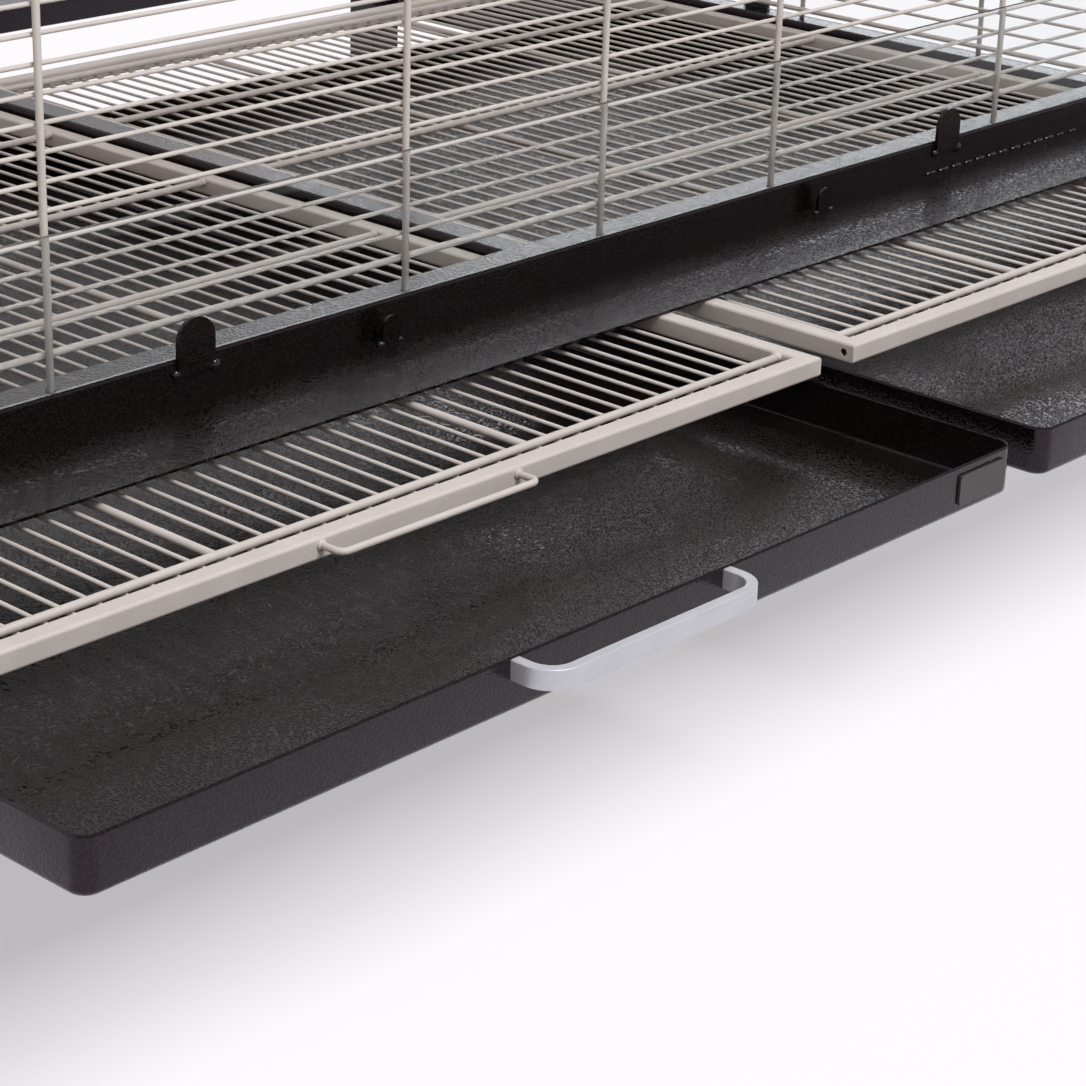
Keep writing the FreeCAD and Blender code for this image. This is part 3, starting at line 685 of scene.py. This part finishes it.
def frame_welds():
    """Beads at both ends of the foot of each clip and stop."""
    beads = []
    clip_half = CLIP_WIDE / 2 + CLIP_BEAD_ASIDE
    clip_y = RAIL_FACE - CLIP_BEAD_AHEAD
    clip_level = FRONT_TOP + CLIP_FOOT + CLIP_BEAD_RISE
    for x in CLIP_X:
        for end in (-1, 1):
            beads.append(((x + end * clip_half, clip_y, clip_level), CLIP_BEAD))
    side_x = SIDE_OUTER + SIDE_CLIP_BEAD_OUT
    side_y = (RAIL_BACK + BACK_INNER) / 2
    side_level = BASE_TOP + CLIP_FOOT + CLIP_BEAD_RISE
    for sign in (-1, 1):
        for end in (-1, 1):
            beads.append(((sign * side_x, side_y + end * clip_half, side_level), SIDE_CLIP_BEAD))
    stop_half = STOP_WIDE / 2 + STOP_BEAD_ASIDE
    stop_y = RAIL_FACE - STOP_AHEAD
    ledge_level = LEDGE_TOP - STOP_AHEAD * LEDGE_FALL / (RAIL_FACE - LEDGE_FRONT)
    for x in STOP_X:
        for end in (-1, 1):
            beads.append(((x + end * stop_half, stop_y, ledge_level + STOP_BEAD_RISE), STOP_BEAD))
    return beads


def seam_welds():
    """A broken seam in the crease between ledge and rail, on the right."""
    beads = []
    for x in rows(SIDE_INNER - SEAM_ENDS[0], SIDE_INNER - SEAM_ENDS[1], SEAM_PITCH):
        place = x + rng.uniform(-SEAM_SHIFT, SEAM_SHIFT)
        beads.append(((place, RAIL_FACE - SEAM_AHEAD, LEDGE_TOP + SEAM_RISE), SEAM_BEAD))
    return beads


def grate_welds(side):
    """Beads where rods and pull meet a grate's frame."""
    x, y, level = grate_inside(side)
    beads = []
    for place in cross_rod_places(y):
        for end, inward in ((x[0], 1), (x[1], -1)):
            beads.append(((end + ROD_BEAD_IN * inward, place, level + ROD_BEAD_RISE), ROD_BEAD))
    for i in GRATE_THICK_RODS:
        at = x[0] + (x[1] - x[0]) * i / GRATE_GAPS
        for end, inward in ((y[0], 1), (y[1], -1)):
            beads.append(((at, end + THICK_ROD_BEAD_IN * inward, level - GRATE_ROD), THICK_ROD_BEAD))
    low, high = box_mm("grate_frame_" + side)
    middle = (low.x + high.x) / 2
    for end in (-1, 1):
        place = (middle + end * PULL_SPAN / 2, low.y - PULL_BEAD_AHEAD, high.z - PULL_DROP)
        beads.append((place, PULL_BEAD))
    return beads


for name, beads in (("tab_welds", frame_welds()), ("ledge_seam_weld", seam_welds())):
    piece = weld_piece(name, beads, "dark_hammered_paint", "base")
    piece.data.materials[0] = weld_paint
for side in SIDES:
    weld_piece("grate_welds_" + side, grate_welds(side), "beige_powder_coat", "grate_" + side)


# Camera at the photograph's place, image taken as 1086 by 1086
CAMERA_LENS = 95.77
CAMERA_SENSOR = 36.0
CAMERA_FAR = 50.0
CAMERA_RIGHT = (0.67538, -0.73685, 0.03022)
CAMERA_UP = (0.26327, 0.27918, 0.92344)
CAMERA_BACK = (-0.68887, -0.61572, 0.38254)
CAMERA_PLACE = (-1.09116, -1.16029, 0.66525)

camera_data = bpy.data.cameras.new("camera")
camera_data.sensor_fit = "HORIZONTAL"
camera_data.sensor_width = CAMERA_SENSOR
camera_data.lens = CAMERA_LENS
camera_data.clip_end = CAMERA_FAR
camera = bpy.data.objects.new("camera", camera_data)
bpy.context.scene.collection.objects.link(camera)
camera_rows = list(zip(CAMERA_RIGHT, CAMERA_UP, CAMERA_BACK, CAMERA_PLACE))
camera.matrix_world = Matrix(camera_rows + [(0, 0, 0, 1)])
bpy.context.scene.camera = camera


# Floor, world and lamps, in metres
FLOOR_REACH = 7.0
FLOOR_ROUGH = 0.7
FLOOR_TONES = [(0.3, (0.86, 0.875, 0.865)), (0.7, (0.88, 0.895, 0.885))]
FLOOR_GLOW = 1.0
FLOOR_GLOW_COLOUR = (1.0, 0.975, 1.01, 1.0)
# Glow share under the object and away from it: the lower share paints shade under the object
FLOOR_GLOW_SHARES = (0.45, 0.97)
FLOOR_GLOW_FADE = (0.04, 0.17)
FLOOR_MIDDLE = (0.0, 0.10)
FLOOR_HALF = (0.5, 0.31)
ROOM_LIGHT = 0.5
ROOM_TINT = (1.0, 0.91, 0.87)
ROOM_SEEN_TINT = (0.985, 0.985, 0.99)
MIRRORED_FRONT = 0.5
MIRRORED_FADE = (-0.3, 0.1)
LAMP_TINT = (0.95, 0.99, 1.05)


def seen_rays(tree):
    """One for rays from the camera, off a shiny face or through clear plastic, and zero for the rest."""
    path = tree.nodes.new("ShaderNodeLightPath")
    seen = path.outputs["Is Camera Ray"]
    for name in ("Is Glossy Ray", "Is Transmission Ray"):
        seen = sums(tree, "MAXIMUM", seen, path.outputs[name])
    return seen


def painted_shade_glow_share(tree, where):
    """Share of the floor's glow, which is less under the object and so paints shade there on top of the
    rendered shadow.
    """
    squares = []
    for place, middle, half in zip(parts_of(tree, where), FLOOR_MIDDLE, FLOOR_HALF):
        apart = sums(tree, "ABSOLUTE", sums(tree, "SUBTRACT", place, middle))
        beyond = sums(tree, "MAXIMUM", sums(tree, "SUBTRACT", apart, half), 0.0)
        squares.append(sums(tree, "POWER", beyond, 2.0))
    distance = sums(tree, "SQRT", sums(tree, "ADD", *squares))
    share = span(tree, distance, *FLOOR_GLOW_SHARES, *FLOOR_GLOW_FADE)
    return sums(tree, "MULTIPLY", share, seen_rays(tree))


def make_floor():
    """A white floor that keeps a soft rendered shadow, with painted shade from a lower glow under the
    object.
    """
    mat, tree, shader, where = new_material("pale_floor")
    tone = noise(tree, where, scale=1.5)
    tree.links.new(ramp(tree, tone, FLOOR_TONES), shader.inputs["Base Color"])
    shader.inputs["Roughness"].default_value = FLOOR_ROUGH
    glow = tree.nodes.new("ShaderNodeEmission")
    glow.inputs["Color"].default_value = FLOOR_GLOW_COLOUR
    glow.inputs["Strength"].default_value = FLOOR_GLOW
    mix = tree.nodes.new("ShaderNodeMixShader")
    # Less glow under the object paints shade there
    tree.links.new(painted_shade_glow_share(tree, where), mix.inputs["Fac"])
    tree.links.new(shader.outputs["BSDF"], mix.inputs[1])
    tree.links.new(glow.outputs["Emission"], mix.inputs[2])
    tree.links.new(mix.outputs["Shader"], tree.nodes["Material Output"].inputs["Surface"])
    mesh = bpy.data.meshes.new("floor")
    corners = [(x * FLOOR_REACH, y * FLOOR_REACH, 0) for x, y in ((-1, -1), (1, -1), (1, 1), (-1, 1))]
    mesh.from_pydata(corners, [], [(0, 1, 2, 3)])
    mesh.materials.append(mat)
    obj = bpy.data.objects.new("floor", mesh)
    bpy.context.scene.collection.objects.link(obj)


def make_room():
    """White where it is seen, dimmer at the front where it is mirrored, and half as strong as light."""
    world = bpy.data.worlds.new("room")
    bpy.context.scene.world = world
    world.use_nodes = True
    tree = world.node_tree
    background = tree.nodes["Background"]
    seen = seen_rays(tree)
    tint = ramp(tree, seen, [(0.0, ROOM_TINT), (1.0, ROOM_SEEN_TINT)])
    tree.links.new(tint, background.inputs["Color"])
    path = tree.nodes.new("ShaderNodeLightPath")
    coords = tree.nodes.new("ShaderNodeTexCoord")
    ahead = span(tree, parts_of(tree, coords.outputs["Generated"])[1], MIRRORED_FRONT, 1.0, *MIRRORED_FADE)
    mirrored = sums(tree, "MAXIMUM", ahead, sums(tree, "SUBTRACT", 1.0, path.outputs["Is Glossy Ray"]))
    strength = sums(tree, "MULTIPLY", span(tree, seen, ROOM_LIGHT, 1.0, 0.0, 1.0), mirrored)
    tree.links.new(strength, background.inputs["Strength"])


def area_light(name, place, target, size, watts):
    """A soft lamp that faces its target and isn't seen itself."""
    data = bpy.data.lights.new(name, "AREA")
    data.shape = "RECTANGLE"
    data.size, data.size_y = size
    data.energy = watts
    data.color = LAMP_TINT
    obj = bpy.data.objects.new(name, data)
    bpy.context.scene.collection.objects.link(obj)
    obj.location = place
    obj.rotation_euler = (Vector(target) - Vector(place)).to_track_quat("-Z", "Y").to_euler()
    obj.visible_camera = False


make_floor()
make_room()
area_light("overhead", place=(-0.2, -2.2, 3.0), target=(0.0, -0.25, 0.2), size=(1.4, 1.4), watts=82.0)
area_light("far_panel", place=(3.0, 1.6, 1.0), target=(0.0, -0.2, 0.3), size=(2.4, 1.2), watts=20.0)

bpy.context.scene.view_settings.view_transform = "Standard"
